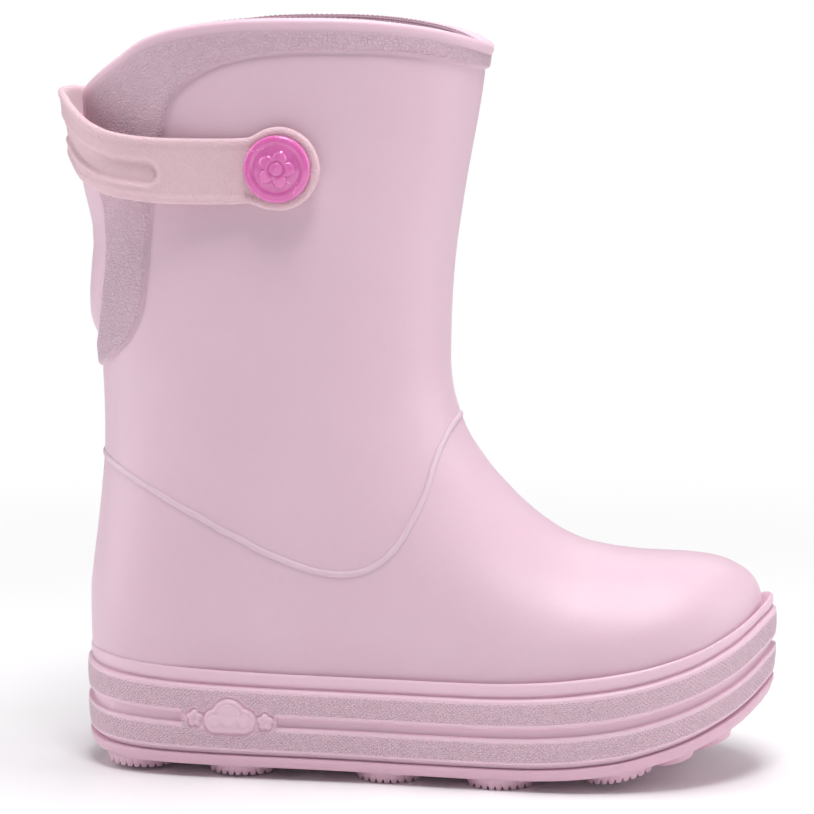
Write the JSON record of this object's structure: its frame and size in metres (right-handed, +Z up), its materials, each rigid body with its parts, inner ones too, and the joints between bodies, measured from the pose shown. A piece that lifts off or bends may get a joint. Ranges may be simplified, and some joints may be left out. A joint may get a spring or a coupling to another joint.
{
  "type": "rain boot",
  "caption": "Child's moulded foam rain boot with a cup sole, round tread lugs, a collar notched at the back and a swinging pull strap held by snap rivets.",
  "frame": {"origin": "bottom centre of the bounding box, on the ground under the lugs", "axes": "+Z up, +X towards the toe, -Y the outer side of a right foot; the strap's axis runs along Y"},
  "size_m": [0.2094, 0.0862, 0.2177],
  "materials": {
    "upper_foam": "satin moulded foam, pale pink, fine leather grain on the collar",
    "lining_knit": "fine pink knit",
    "sole_foam": "satin moulded foam with fine knurled bands",
    "outsole_foam": "satin moulded rubber-like foam",
    "footbed_cloth": "brushed fabric over foam",
    "strap_foam": "satin moulded foam, lightly grained",
    "rivet_plastic": "translucent glossy magenta",
    "washer_plastic": "plain moulded"
  },
  "bodies": {
    "boot": {"upper_shell": "upper_foam", "lining": "lining_knit", "midsole": "sole_foam", "outsole": "outsole_foam", "insole": "footbed_cloth"},
    "strap": {"strap": "strap_foam"},
    "rivet_right": {"rivet_cap_right": "rivet_plastic", "rivet_washer_right": "washer_plastic"},
    "rivet_left": {"rivet_cap_left": "rivet_plastic", "rivet_washer_left": "washer_plastic"}
  },
  "joints": [
    {"name": "strap_swing", "type": "hinge", "parent": "boot", "child": "strap", "pos_m": [-0.0352, 0, 0.176], "axis": [0, 1, 0], "range_deg": [-20, 95]},
    {"name": "rivet_right_spin", "type": "hinge", "parent": "boot", "child": "rivet_right", "pos_m": [-0.0352, -0.04, 0.176], "axis": [0, -1, 0], "continuous": true},
    {"name": "rivet_left_spin", "type": "hinge", "parent": "boot", "child": "rivet_left", "pos_m": [-0.0352, 0.04, 0.176], "axis": [0, 1, 0], "continuous": true}
  ]
}
